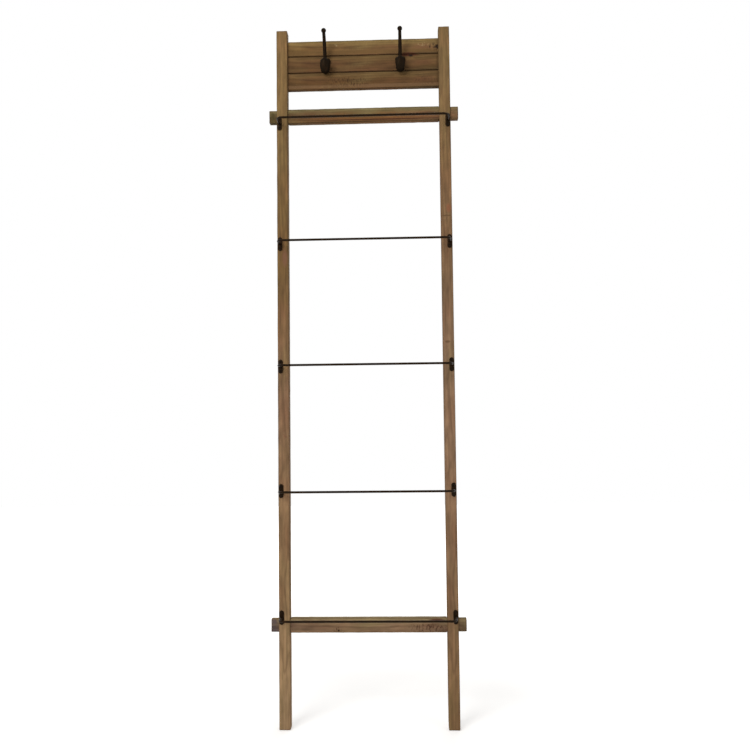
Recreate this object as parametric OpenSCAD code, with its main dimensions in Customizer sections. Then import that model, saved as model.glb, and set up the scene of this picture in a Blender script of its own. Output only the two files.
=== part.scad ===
// Ladder towel rack: two wooden stiles, a three-plank header with two cast hooks,
// two crossbars on through tenons and five bent iron towel rails.
// Front faces -Y, +Z runs up the stiles, the origin is under the middle of the rack.

/* [Stiles] */
// Overall width over the two stiles
rack_w = 461; // [380:1:620]
// Length of each stile
stile_h = 1827; // [1500:1:2000]
// Width of a stile's front face
stile_w = 30; // [26:0.5:42]
// Depth of a stile, front to back
stile_d = 30; // [28:0.5:40]
// Rounding of the stile's worn edges
stile_ease = 2.6; // [1:0.1:4]
// Width of the knocked-off inner corner at the head of the left stile
worn_head_w = 6; // [1:0.5:9]
// Height of the knocked-off inner corner at the head of the left stile
worn_head_h = 11; // [1:0.5:20]
// Width of the rubbed inner corners at the feet
worn_foot_w = 4; // [1:0.5:8]
// Height of the rubbed inner corners at the feet
worn_foot_h = 5; // [1:0.5:12]

/* [Header] */
// Distance from the top of the stiles down to the header
header_drop = 28; // [5:0.5:60]
// Height of the top plank
plank_top_h = 41; // [30:0.5:55]
// Height of the middle plank
plank_middle_h = 44; // [34:0.5:55]
// Height of the bottom plank
plank_bottom_h = 46; // [30:0.5:55]
// Thickness of the planks
plank_t = 15; // [12:0.5:18]
// Open joint between two planks
plank_gap = 1; // [0.5:0.1:3]
// Rounding of the plank edges
plank_ease = 1.6; // [0.5:0.1:3]
// How deep a plank's end sits in the stile
housing_depth = 8; // [4:0.5:12]
// Diameter of the brads behind the planks
brad_d = 1.8; // [1.2:0.1:2.5]
// Length of the brads
brad_l = 20; // [14:0.5:22]

/* [Crossbars] */
// Distance from the top of the stiles down to the middle of the upper crossbar
upper_bar_drop = 232.5; // [220:0.5:400]
// Height of the middle of the lower crossbar above the floor
lower_bar_z = 262; // [120:0.5:400]
// Height of a crossbar between the stiles
bar_h = 38.5; // [34:0.5:50]
// Thickness of a crossbar
bar_t = 20; // [14:0.5:21]
// Rounding of the crossbar edges
bar_ease = 2.4; // [1:0.1:4]
// Step from the crossbar down to its tenon, above and below
tenon_shoulder = 2.25; // [1:0.25:5]
// How far a tenon stands out beyond the stile
tenon_reach = 20.5; // [8:0.5:40]
// Clearance of a wooden joint on each side
joint_gap = 0.15; // [0.1:0.05:0.4]

/* [Towel rails] */
// Diameter of the round iron rail
rod_d = 6; // [5:0.25:9]
// Distance from the stile's front face to the middle of the rail
rail_standoff = 48; // [35:1:80]
// Bend of the rail at its middle line
bend_r = 14; // [10:0.5:24]
// Distance from the middle of a crossbar to the end rail in front of it
rail_offset = 21.5; // [10:0.5:60]
// Width of the flat tab at the end of a rail
tab_w = 12; // [10:0.5:15]
// Length of the tab from round end to round end
tab_l = 36; // [30:0.5:50]
// Thickness of the tab
tab_t = 2.5; // [2:0.1:4]
// Distance from the stile's outer edge to the middle of the tab
tab_inset = 8; // [7.5:0.25:14]
// Width of the weld bead round the foot of the rail
weld_w = 1.2; // [0.5:0.1:2]

/* [Hooks] */
// Distance between the two hooks
hook_spacing = 199; // [120:1:260]
// Distance from the header's top edge down to the middle of a hook plate
hook_drop = 75; // [70:0.5:80]
// Thickness of the hook plate
plate_t = 4; // [3:0.25:5]
// Radius of the plate's two upper lobes
lobe_r = 6; // [5.5:0.25:8]
// Radius of the plate's foot
plate_foot_r = 11; // [8:0.25:13]
// Distance from the middle of the plate down to the middle of its foot
plate_foot_drop = 5; // [2:0.5:12]
// Diameter of the ball on the upper prong
ball_d = 13; // [10:0.5:18]
// Height of the ball's centre above the middle of the plate
ball_rise = 80.5; // [65:0.5:95]
// Distance of the ball's centre from the header
ball_reach = 47.5; // [38:0.5:60]
// Height above the middle of the plate at which the prong leaves it
prong_rise = 6; // [0:0.5:12]
// Thickness of the prong where it leaves the plate
prong_root_d = 11; // [9:0.5:14]
// Thickness of the prong at half its length
prong_mid_d = 10.2; // [8:0.2:12]
// Thickness of the prong under the ball
prong_neck_d = 9; // [6:0.2:10]
// Height of the tongue's lip above the middle of the plate
lip_rise = 16.5; // [10:0.5:24]
// Distance of the lip from the header
lip_reach = 31.5; // [26:0.5:40]
// How far the tongue's bowl dips below the middle of the plate
tongue_dip = 16; // [12:0.5:20]
// Width of the tongue where it leaves the plate
tongue_root_w = 17; // [12:0.5:20]
// Greatest width of the tongue
tongue_w = 25; // [20:0.5:32]
// Thickness of the tongue
tongue_t = 5.6; // [4:0.2:7]
// How far the middle of the tongue bulges forward
tongue_crown = 3.2; // [1:0.2:6]

/* [Screws] */
// Diameter of the screw shanks
screw_d = 3.4; // [2.8:0.1:3.8]
// Distance between a tab's two screws
tab_screw_spacing = 24; // [18:0.5:26]
// Distance between the two screws of a hook
hook_screw_spacing = 15.5; // [14:0.5:20]
// Height of the hook's screws above the middle of the plate
hook_screw_rise = 18.5; // [16:0.5:22]
// How deep a rail screw goes into the stile
rail_screw_depth = 17; // [10:0.5:22]
// How deep a hook screw goes into the plank
hook_screw_depth = 9; // [6:0.5:10]
// Diameter of the screw heads
head_d = 6.8; // [6:0.1:8]
// Height of the domed screw heads
head_h = 2.3; // [1.5:0.1:3]
// Clearance round a shank in its hole, per side
shank_gap = 0.06; // [0.03:0.01:0.12]
// Clearance of the tab and plate holes round a shank, per side
plate_hole_gap = 0.25; // [0.1:0.05:0.5]

/* [Hidden] */
$fn = 48;

// Colours of the timbers and the iron
STILE_WOOD = [0.54, 0.44, 0.31];
PLANK_WOOD = [0.43, 0.32, 0.20];
BAR_WOOD = [0.44, 0.35, 0.23];
IRON = [0.13, 0.12, 0.115];
STEEL = [0.20, 0.19, 0.18];

// Cutters run this far past the faces they open
over = 1;
// A hole ends this far beyond the tip of its screw
tip_room = 0.5;

// Places across the rack: -1 is the left side, +1 the right
SIDES = [-1, 1];
inner_w = rack_w - 2 * stile_w;
stile_x = (rack_w - stile_w) / 2;
tab_x = rack_w / 2 - tab_inset;

// The rails reach furthest forward, so they set the middle of the rack's depth
rack_d = rail_standoff + rod_d / 2 + stile_d;
front_y = rack_d / 2 - stile_d;

// Planks and crossbars lie in the middle of the stile's depth
plank_y = (stile_d - plank_t) / 2;
bar_y = (stile_d - bar_t) / 2;

// Heights
header_top = stile_h - header_drop;
plank_top_z = header_top - plank_top_h;
plank_middle_z = plank_top_z - plank_gap - plank_middle_h;
plank_bottom_z = plank_middle_z - plank_gap - plank_bottom_h;
PLANKS = [
    [plank_top_z, plank_top_h],
    [plank_middle_z, plank_middle_h],
    [plank_bottom_z, plank_bottom_h]
];
upper_bar_z = stile_h - upper_bar_drop;
BAR_HEIGHTS = [upper_bar_z, lower_bar_z];
rail_first_z = upper_bar_z - rail_offset;
rail_last_z = lower_bar_z + rail_offset;
RAIL_COUNT = 5;
RAIL_HEIGHTS = [
    for (i = [0 : RAIL_COUNT - 1])
        rail_first_z + (rail_last_z - rail_first_z) * i / (RAIL_COUNT - 1)
];
hook_z = header_top - hook_drop;

// Tenon and its mortise
tenon_h = bar_h - 2 * tenon_shoulder;
tenon_w = rack_w + 2 * tenon_reach;

// Brads go in behind the middle of each plank's housed end
brad_x = inner_w / 2 + housing_depth / 2;
brad_head_d = 1.5 * brad_d;
brad_head_h = 1.2;

// Screw head profile: a cap cut from a ball
head_ball_r = (pow(head_d / 2, 2) + pow(head_h, 2)) / (2 * head_h);
tip_h = screw_d;
tip_d = screw_d / 4;
pilot_r = screw_d / 2 + shank_gap;
plate_hole_r = screw_d / 2 + plate_hole_gap;

// Hook: the middle lines of prong and tongue are cubic curves [y, z] from the header's face.
// The prong leaves the plate square to it, stays close in and then swings out to the ball
PRONG_START = 0.42; // first control point, as a share of the ball's reach
PRONG_WAIST = [0.26, 0.62]; // second control point, as shares of the ball's reach and rise
PRONG_SAG = 2; // the first control point lies this far below the root
PRONG = [
    [-plate_t / 2, prong_rise],
    [-ball_reach * PRONG_START, prong_rise - PRONG_SAG],
    [-ball_reach * PRONG_WAIST[0], ball_rise * PRONG_WAIST[1]],
    [-ball_reach, ball_rise]
];
// The tongue leaves the plate's foot downwards and turns up in a round bowl
TONGUE_SET = 1; // its root lies this far below the middle of the plate's foot
TONGUE_START = [0.64, 2]; // first control point, as shares of the lip's reach and the dip
TONGUE_BOWL = [1.06, 0.85]; // second control point, as shares of the same
TONGUE = [
    [-plate_t / 2, -plate_foot_drop - TONGUE_SET],
    [-lip_reach * TONGUE_START[0], -tongue_dip * TONGUE_START[1]],
    [-lip_reach * TONGUE_BOWL[0], -tongue_dip * TONGUE_BOWL[1]],
    [-lip_reach, lip_rise]
];
PRONG_RINGS = 14;
PRONG_SIDES = 20;
// Share of the prong's length at which it has its middle thickness
PRONG_MID = 0.4;
TONGUE_SIDES = 24;
// Share of the tongue's length that keeps the width of its root
TONGUE_STALK = 0.12;
// How far along the tongue it is widest
TONGUE_WIDEST = 0.78;
// Rings up to the widest place, and on from there to the lip
BODY_RINGS = 12;
LIP_RINGS = 6;
// Width and thickness left at the very lip, and how late the thickness falls
LIP_SHARE = 0.5;
LIP_THIN = 0.3;
LIP_LATE = 3;
// Rings lie evenly up to the widest place and crowd together towards the lip
TONGUE_STEPS = [
    for (j = [0 : BODY_RINGS - 1]) TONGUE_WIDEST * j / BODY_RINGS,
    for (j = [0 : LIP_RINGS]) mix(TONGUE_WIDEST, 1, sin(90 * j / LIP_RINGS))
];

// ---- Curves and lofts ----

function mix(a, b, t) = a + (b - a) * t;

function smooth(t) = t * t * (3 - 2 * t);

function curve_point(c, t) =
    pow(1 - t, 3) * c[0] + 3 * t * pow(1 - t, 2) * c[1]
    + 3 * t * t * (1 - t) * c[2] + pow(t, 3) * c[3];

function curve_slope(c, t) =
    3 * pow(1 - t, 2) * (c[1] - c[0]) + 6 * t * (1 - t) * (c[2] - c[1])
    + 3 * t * t * (c[3] - c[2]);

// A section point lies x across and n off the curve, on the side away from the header
function off_curve(c, t, x, n) =
    let (p = curve_point(c, t), s = curve_slope(c, t) / norm(curve_slope(c, t)))
    [x, p[0] - n * s[1], p[1] + n * s[0]];

// Round section that thins from the root to the neck
function prong_r(t) =
    (t < PRONG_MID
     ? mix(prong_root_d, prong_mid_d, smooth(t / PRONG_MID))
     : mix(prong_mid_d, prong_neck_d, smooth((t - PRONG_MID) / (1 - PRONG_MID)))) / 2;

function prong_ring(t) = [
    for (k = [0 : PRONG_SIDES - 1])
        let (a = 360 * k / PRONG_SIDES)
        off_curve(PRONG, t, prong_r(t) * cos(a), prong_r(t) * sin(a))
];

// Elliptical fall from 1 down to a share, as u runs from 0 to 1
function round_off(share, u) = sqrt(1 - (1 - share * share) * u * u);

// The tongue widens to its shoulders and ends in a round lip
function past_widest(t) = max(0, t - TONGUE_WIDEST) / (1 - TONGUE_WIDEST);

function past_stalk(t) = max(0, t - TONGUE_STALK) / (TONGUE_WIDEST - TONGUE_STALK);

function tongue_half_w(t) =
    mix(tongue_root_w, tongue_w, smooth(min(1, past_stalk(t)))) / 2
    * round_off(LIP_SHARE, past_widest(t));

function tongue_half_t(t) = tongue_t / 2 * round_off(LIP_THIN, pow(past_widest(t), LIP_LATE));

// Bowed oval section: its middle stands forward of its edges
function tongue_ring(t) = [
    for (k = [0 : TONGUE_SIDES - 1])
        let (a = 360 * k / TONGUE_SIDES, bow = tongue_crown * smooth(min(1, t / TONGUE_WIDEST)))
        off_curve(TONGUE, t, tongue_half_w(t) * cos(a),
                  tongue_half_t(t) * sin(a) - bow * pow(cos(a), 2))
];

// Skin over a row of rings that all have the same number of points
module loft(rings) {
    n = len(rings[0]);
    last = len(rings) - 1;
    points = [for (ring = rings) each ring];
    sides = [
        for (j = [0 : last - 1], k = [0 : n - 1])
            [j * n + k, j * n + (k + 1) % n, (j + 1) * n + (k + 1) % n, (j + 1) * n + k]
    ];
    first_cap = [for (k = [n - 1 : -1 : 0]) k];
    last_cap = [for (k = [0 : n - 1]) last * n + k];
    polyhedron(points, concat([first_cap, last_cap], sides));
}

// ---- Timber ----

// Rectangle with its lower left corner at the origin and round corners
module rounded_rect(w, h, r) {
    translate([r, 0]) square([w - 2 * r, h]);
    translate([0, r]) square([w, h - 2 * r]);
    for (x = [r, w - r], y = [r, h - r])
        translate([x, y]) circle(r);
}

// Square-sawn bar whose twelve edges are eased
module eased_bar(size, r) {
    intersection() {
        linear_extrude(size[2]) rounded_rect(size[0], size[1], r);
        translate([0, size[1], 0]) rotate([90, 0, 0])
            linear_extrude(size[1]) rounded_rect(size[0], size[2], r);
        rotate([90, 0, 90]) linear_extrude(size[0]) rounded_rect(size[1], size[2], r);
    }
}

// Bar with eased long edges and square ends, lying along X
module long_eased_bar(size, r) {
    rotate([90, 0, 90]) linear_extrude(size[0]) rounded_rect(size[1], size[2], r);
}

// Moves a piece from the stile's front face, where it is drawn, to its place
module in_rack() {
    translate([0, front_y, 0]) children();
}

// Through mortises for both tenons
module mortises(x0) {
    for (z = BAR_HEIGHTS)
        translate([x0 - over, bar_y - joint_gap, z - tenon_h / 2 - joint_gap])
            long_eased_bar(
                [stile_w + 2 * over, bar_t + 2 * joint_gap, tenon_h + 2 * joint_gap],
                bar_ease + joint_gap
            );
}

// Stopped housing in the inner face, for the ends of the three planks
module plank_housing(side) {
    w = housing_depth + over;
    x0 = side < 0 ? -inner_w / 2 - housing_depth : inner_w / 2 - over;
    translate([x0, plank_y - joint_gap, plank_bottom_z - joint_gap])
        cube([w, plank_t + 2 * joint_gap, header_top - plank_bottom_z + 2 * joint_gap]);
}

// Hole for a shank, drilled from the face at y = 0 towards +Y
module pilot_hole(depth) {
    translate([0, -over, 0]) rotate([-90, 0, 0]) cylinder(h = depth + over, r = pilot_r);
}

module rail_pilot_holes(side) {
    for (z = RAIL_HEIGHTS, k = SIDES)
        translate([side * tab_x, 0, z + k * tab_screw_spacing / 2])
            pilot_hole(rail_screw_depth + tip_room);
}

module brad_holes(side) {
    for (p = PLANKS)
        translate([side * brad_x, stile_d + over, p[0] + p[1] / 2]) rotate([90, 0, 0]) {
            cylinder(h = brad_l + tip_room + over, r = brad_d / 2 + shank_gap);
            cylinder(h = brad_head_h + over, r = brad_head_d / 2 + shank_gap);
        }
}

// Triangular piece knocked off an inner corner; up is +1 at the head and -1 at the foot
module worn_corner(side, up, w, h) {
    corner_z = up > 0 ? stile_h : 0;
    translate([side * inner_w / 2, -over, corner_z]) rotate([-90, 0, 0])
        linear_extrude(stile_d + 2 * over)
            polygon([
                [-side * over, up * -over],
                [side * w, up * -over],
                [side * w, 0],
                [0, up * h],
                [-side * over, up * h]
            ]);
}

module stile(side) {
    x0 = side * stile_x - stile_w / 2;
    color(STILE_WOOD) in_rack() difference() {
        translate([x0, 0, 0]) eased_bar([stile_w, stile_d, stile_h], stile_ease);
        mortises(x0);
        plank_housing(side);
        rail_pilot_holes(side);
        brad_holes(side);
        worn_corner(side, -1, worn_foot_w, worn_foot_h);
        if (side < 0)
            worn_corner(side, 1, worn_head_w, worn_head_h);
    }
}

module plank(z0, h) {
    w = inner_w + 2 * (housing_depth - joint_gap);
    color(PLANK_WOOD) in_rack() difference() {
        translate([-w / 2, plank_y, z0]) long_eased_bar([w, plank_t, h], plank_ease);
        for (side = SIDES)
            brad_holes(side);
        for (hook = SIDES)
            hook_pilot_holes(hook);
    }
}

module crossbar(z) {
    body_w = inner_w - 2 * joint_gap;
    color(BAR_WOOD) in_rack() difference() {
        union() {
            translate([-body_w / 2, bar_y, z - bar_h / 2])
                long_eased_bar([body_w, bar_t, bar_h], bar_ease);
            translate([-tenon_w / 2, bar_y, z - tenon_h / 2])
                eased_bar([tenon_w, bar_t, tenon_h], bar_ease);
        }
        for (side = SIDES)
            rail_pilot_holes(side);
    }
}

module plank_brads() {
    color(STEEL) in_rack()
        for (side = SIDES, p = PLANKS)
            translate([side * brad_x, stile_d, p[0] + p[1] / 2]) rotate([90, 0, 0]) {
                cylinder(h = brad_l, r = brad_d / 2);
                cylinder(h = brad_head_h, r = brad_head_d / 2);
            }
}

// ---- Iron rails ----

// Oblong plate with round ends, standing on the stile's face at y = 0
module tab() {
    rotate([90, 0, 0]) linear_extrude(tab_t) difference() {
        union() {
            square([tab_w, tab_l - tab_w], center = true);
            for (k = SIDES)
                translate([0, k * (tab_l - tab_w) / 2]) circle(d = tab_w);
        }
        for (k = SIDES)
            translate([0, k * tab_screw_spacing / 2]) circle(plate_hole_r);
    }
}

// Half of a rail, from the middle of the rack to the tab on the +X side
module half_rail() {
    bend_x = tab_x - bend_r;
    translate([0, -rail_standoff, 0]) rotate([0, 90, 0]) cylinder(h = bend_x, d = rod_d);
    translate([bend_x, bend_r - rail_standoff, 0]) rotate([0, 0, -90])
        rotate_extrude(angle = 90) translate([bend_r, 0]) circle(d = rod_d);
    translate([tab_x, 0, 0]) {
        rotate([90, 0, 0]) cylinder(h = rail_standoff - bend_r, d = rod_d);
        translate([0, -tab_t, 0]) rotate([90, 0, 0])
            cylinder(h = weld_w, r1 = rod_d / 2 + weld_w, r2 = rod_d / 2);
        tab();
    }
}

module towel_rail(i) {
    color(IRON) in_rack() translate([0, 0, RAIL_HEIGHTS[i - 1]]) {
        half_rail();
        mirror([1, 0, 0]) half_rail();
    }
}

// Domed wood screw that points along +Y, its head resting on the face at y = 0
module wood_screw(length) {
    rotate([-90, 0, 0]) {
        cylinder(h = length - tip_h, d = screw_d);
        translate([0, 0, length - tip_h]) cylinder(h = tip_h, d1 = screw_d, d2 = tip_d);
        mirror([0, 0, 1]) intersection() {
            translate([0, 0, head_h - head_ball_r]) sphere(head_ball_r);
            cylinder(h = head_h, d = head_d + over);
        }
    }
}

module towel_rail_screws(i) {
    color(STEEL) in_rack()
        for (side = SIDES, k = SIDES)
            translate([side * tab_x, -tab_t, RAIL_HEIGHTS[i - 1] + k * tab_screw_spacing / 2])
                wood_screw(rail_screw_depth + tab_t);
}

// ---- Cast hooks ----

// Straight-sided strap between two circles, with true round ends
module strap(a, ra, b, rb) {
    run = norm(b - a);
    along = (b - a) / run;
    across = [-along[1], along[0]];
    lean = (ra - rb) / run;
    rise = sqrt(1 - lean * lean);
    up = lean * along + rise * across;
    down = lean * along - rise * across;
    polygon([a + ra * up, a + ra * down, b + rb * down, b + rb * up]);
    translate(a) circle(ra);
    translate(b) circle(rb);
}

// Egg-shaped outline: two screw lobes above, one round foot below
module plate_outline() {
    left = [-hook_screw_spacing / 2, hook_screw_rise];
    right = [hook_screw_spacing / 2, hook_screw_rise];
    foot = [0, -plate_foot_drop];
    strap(left, lobe_r, foot, plate_foot_r);
    strap(right, lobe_r, foot, plate_foot_r);
    strap(left, lobe_r, right, lobe_r);
    polygon([left, foot, right]);
}

module hook_place(hook) {
    translate([hook * hook_spacing / 2, plank_y, hook_z]) children();
}

module hook_pilot_holes(hook) {
    hook_place(hook)
        for (k = SIDES)
            translate([k * hook_screw_spacing / 2, 0, hook_screw_rise])
                pilot_hole(hook_screw_depth + tip_room);
}

module hook(side) {
    color(IRON) in_rack() hook_place(side) difference() {
        union() {
            rotate([90, 0, 0]) linear_extrude(plate_t) plate_outline();
            loft([for (j = [0 : PRONG_RINGS]) prong_ring(j / PRONG_RINGS)]);
            loft([for (t = TONGUE_STEPS) tongue_ring(t)]);
            translate([0, -ball_reach, ball_rise]) sphere(d = ball_d);
        }
        for (k = SIDES)
            translate([k * hook_screw_spacing / 2, over, hook_screw_rise]) rotate([90, 0, 0])
                cylinder(h = plate_t + 2 * over, r = plate_hole_r);
    }
}

module hook_screws(side) {
    color(STEEL) in_rack() hook_place(side)
        for (k = SIDES)
            translate([k * hook_screw_spacing / 2, -plate_t, hook_screw_rise])
                wood_screw(hook_screw_depth + plate_t);
}

// ---- Pieces ----

stile(-1);  // left_stile
stile(1);  // right_stile
plank(plank_top_z, plank_top_h);  // header_plank_top
plank(plank_middle_z, plank_middle_h);  // header_plank_middle
plank(plank_bottom_z, plank_bottom_h);  // header_plank_bottom
plank_brads();
crossbar(upper_bar_z);  // upper_crossbar
crossbar(lower_bar_z);  // lower_crossbar
towel_rail(1);  // towel_rail_1
towel_rail(2);  // towel_rail_2
towel_rail(3);  // towel_rail_3
towel_rail(4);  // towel_rail_4
towel_rail(5);  // towel_rail_5
towel_rail_screws(1);  // towel_rail_1_screws
towel_rail_screws(2);  // towel_rail_2_screws
towel_rail_screws(3);  // towel_rail_3_screws
towel_rail_screws(4);  // towel_rail_4_screws
towel_rail_screws(5);  // towel_rail_5_screws
hook(-1);  // left_hook
hook(1);  // right_hook
hook_screws(-1);  // left_hook_screws
hook_screws(1);  // right_hook_screws
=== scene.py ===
"""Ladder towel rack: worn timber, forged rails and cast hooks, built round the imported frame."""
import math
from contextlib import contextmanager

import bmesh
import bpy
from bpy.props import FloatProperty, FloatVectorProperty, PointerProperty, StringProperty
from mathutils import Euler, Matrix, Vector
from mathutils.geometry import interpolate_bezier


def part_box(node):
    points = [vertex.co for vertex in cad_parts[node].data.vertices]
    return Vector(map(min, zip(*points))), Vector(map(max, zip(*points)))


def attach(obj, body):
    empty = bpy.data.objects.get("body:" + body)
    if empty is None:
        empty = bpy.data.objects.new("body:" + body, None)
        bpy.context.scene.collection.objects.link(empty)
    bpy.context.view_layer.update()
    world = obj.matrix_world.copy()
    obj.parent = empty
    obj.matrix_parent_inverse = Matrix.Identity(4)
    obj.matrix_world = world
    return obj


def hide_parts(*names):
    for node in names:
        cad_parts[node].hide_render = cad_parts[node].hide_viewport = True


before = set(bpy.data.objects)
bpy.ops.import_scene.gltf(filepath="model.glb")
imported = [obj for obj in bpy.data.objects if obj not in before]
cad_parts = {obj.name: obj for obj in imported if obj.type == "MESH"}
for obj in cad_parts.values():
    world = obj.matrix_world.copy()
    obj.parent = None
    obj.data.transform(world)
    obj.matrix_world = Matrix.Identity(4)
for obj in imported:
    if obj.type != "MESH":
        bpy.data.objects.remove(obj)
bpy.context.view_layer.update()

bl_info = {
    "name": "Ladder Towel Rack",
    "version": (1, 0, 0),
    "blender": (4, 5, 0),
    "location": "View3D > Sidebar > Towel Rack",
    "description": "Builds a leaning towel rack of worn timber, forged rails and cast hooks",
    "category": "Add Mesh",
}

MM = 0.001
SIDES = (-1, 1)
SIDE_NAMES = {-1: "left", 1: "right"}
PLANK_NAMES = ("top", "middle", "bottom")
BAR_NAMES = ("upper", "lower")
RAIL_NUMBERS = range(1, 6)
X, Y, Z = Vector((1, 0, 0)), Vector((0, 1, 0)), Vector((0, 0, 1))
# Turns a primitive's own axis from upright to front and back
FORWARDS = (math.pi / 2, 0, 0)
# How far a cutter runs past the surface that it cuts
OVERRUN = 2 * MM
# Clearance between a crossbar's shoulder and the stile
SHOULDER_GAP = 0.15 * MM
# From the modelled screw's crown to where its point starts. It is stretched when it is driven
STEM = 10 * MM


# ---- Settings ------------------------------------------------------------------------------

def length(name, description, default_mm):
    """A size that the sidebar shows as a length."""
    return FloatProperty(
        name=name, description=description, default=default_mm * MM,
        min=0, subtype="DISTANCE", unit="LENGTH", precision=5,
    )


def colour(name, description, default_hex):
    """A colour written as an sRGB hex value."""
    return StringProperty(name=name, description=description, default=default_hex)


def turn(name, description, degrees):
    """An angle that the sidebar shows in degrees."""
    return FloatProperty(
        name=name, description=description, default=math.radians(degrees),
        subtype="ANGLE", unit="ROTATION",
    )


def position(name, description, default):
    """A place in the room, in metres."""
    return FloatVectorProperty(
        name=name, description=description, default=default,
        subtype="TRANSLATION", unit="LENGTH", precision=4,
    )


def power(name, description, watts):
    """The power of a lamp."""
    return FloatProperty(name=name, description=description, default=watts, min=0, unit="POWER")


class RackTimberSettings(bpy.types.PropertyGroup):
    """Sizes of the worn timber in the stiles, the header and the crossbars."""

    stile_arris: length("Stile arris", "Rounding of a stile's edges", 2.0)
    plank_arris: length("Plank arris", "Rounding of a plank's edges", 1.3)
    bar_arris: length("Crossbar arris", "Rounding of a crossbar's edges", 1.9)
    arris_wear: length("Arris wear", "How far the edges are knocked back at most", 0.8)
    face_wear: length("Face wear", "How far the planed faces dip at most", 0.22)
    head_cut_width: length("Head cut width", "Width of the left stile's worn corner", 6)
    head_cut_height: length("Head cut height", "Height of the left stile's worn corner", 11)
    foot_cut_width: length("Foot cut width", "Width of the rubbed corner at a foot", 4)
    foot_cut_height: length("Foot cut height", "Height of the rubbed corner at a foot", 5)
    tenon_shoulder: length("Tenon shoulder", "Step from a crossbar down to its tenon", 2.25)
    tenon_slack: length("Tenon slack", "How much thinner a tenon is than its crossbar", 0.4)
    mortise_gap: length("Mortise gap", "Clearance of a mortise round its tenon", 0.25)
    housing_depth: length("Housing depth", "How deep a plank's end sits in the stile", 8)
    growth_ring: length("Growth ring", "Distance from one growth ring to the next", 3.4)
    fibre: length("Fibre", "Width of the wood's fibres as drawn", 1.2)
    streak: length("Streak", "Width of the darker and lighter streaks", 5.5)
    saw_ripple: length("Saw ripple", "Distance between the ripples that the band saw left", 3.4)
    relief: length("Grain relief", "Height of the brushed grain", 0.35)
    olive: colour("Olive patches", "Colour where the stain turned olive", "#7A6A42")
    russet: colour("Russet patches", "Colour where the stain turned red", "#7B4F38")


class RackIronSettings(bpy.types.PropertyGroup):
    """Sizes and colours of the rails and the screws."""

    rod_diameter: length("Rod diameter", "Diameter of the round rails", 6)
    bend_radius: length("Bend radius", "Bend of a rail at its middle line", 14)
    tab_width: length("Tab width", "Width of a rail's flat end tab", 12)
    tab_thickness: length("Tab thickness", "Thickness of a rail's end tab", 2.5)
    tab_rim: length("Tab rim", "Rounding of a tab's front rim", 0.7)
    weld_width: length("Weld width", "Width of the weld round a rail's foot", 1.2)
    hammer_depth: length("Hammer depth", "Unevenness that the hammer left on the rails", 0.1)
    head_diameter: length("Screw head", "Diameter of the domed screw heads", 6.8)
    head_height: length("Screw head height", "Height of the domed screw heads", 2.3)
    recess_width: length("Recess width", "Width of the cross recess at the crown", 3.2)
    recess_arm: length("Recess arm", "Thickness of one arm of the cross recess", 0.95)
    recess_depth: length("Recess depth", "Depth of the cross recess", 1.45)
    shank_diameter: length("Screw shank", "Diameter of the screw shanks", 3.4)
    point_length: length("Screw point", "Length of the screw's tapered point", 3.2)
    scale_black: colour("Forge scale", "Colour of the waxed forge scale on the rails", "#150E08")
    casting_black: colour("Casting black", "Colour of the lacquered castings", "#15100B")
    screw_black: colour("Screw black", "Colour of the blackened screws", "#120E0A")
    bare_brown: colour("Bare brown", "Colour of the iron where the black is thin", "#2E1C0F")
    warm_sheen: colour("Warm sheen", "Tint of the wax on all the iron", "#FFCE9A")


class RackHookSettings(bpy.types.PropertyGroup):
    """Sizes of one cast hook, which hangs on its plate's two screws."""

    centre_drop: length("Centre drop", "From the header's top edge down to the hook's middle", 75)
    plate_thickness: length("Plate thickness", "Thickness of the back plate", 4)
    plate_lobe: length("Plate lobe", "Radius of the plate round each screw", 6)
    plate_foot: length("Plate foot", "Radius of the plate's lower end", 11)
    plate_foot_drop: length("Plate foot drop", "From the hook's middle down to the foot", 5)
    plate_rim: length("Plate rim", "Rounding of the plate's front rim", 1.2)
    screws_apart: length("Screws apart", "Distance between the two screws", 15.5)
    screw_rise: length("Screw rise", "From the hook's middle up to the screws", 18.5)
    ball: length("Ball", "Diameter of the ball at the top", 13)
    ball_rise: length("Ball rise", "From the hook's middle up to the ball", 80.5)
    ball_reach: length("Ball reach", "From the header out to the ball", 47.5)
    prong_root: length("Prong root", "Diameter of the prong at the plate", 11)
    prong_middle: length("Prong middle", "Diameter of the prong halfway", 10.2)
    prong_neck: length("Prong neck", "Diameter of the prong under the ball", 9)
    prong_start: length("Prong start", "From the hook's middle up to the prong's root", 6)
    tongue_reach: length("Tongue reach", "From the header out to the tongue's lip", 31.5)
    tongue_rise: length("Tongue rise", "From the hook's middle up to the tongue's lip", 16.5)
    tongue_dip: length("Tongue dip", "From the hook's middle down to the tongue's bowl", 16)
    tongue_root: length("Tongue root", "Width of the tongue at the plate", 17)
    tongue_width: length("Tongue width", "Greatest width of the tongue", 25)
    tongue_thickness: length("Tongue thickness", "Thickness of the tongue", 5.6)
    tongue_crown: length("Tongue crown", "How far the tongue's middle stands before its sides", 3.2)
    casting_grain: length("Casting grain", "Depth of the sand grain", 0.09)
    skin: length("Skin", "Fineness of the modelled skin", 0.5)


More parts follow.
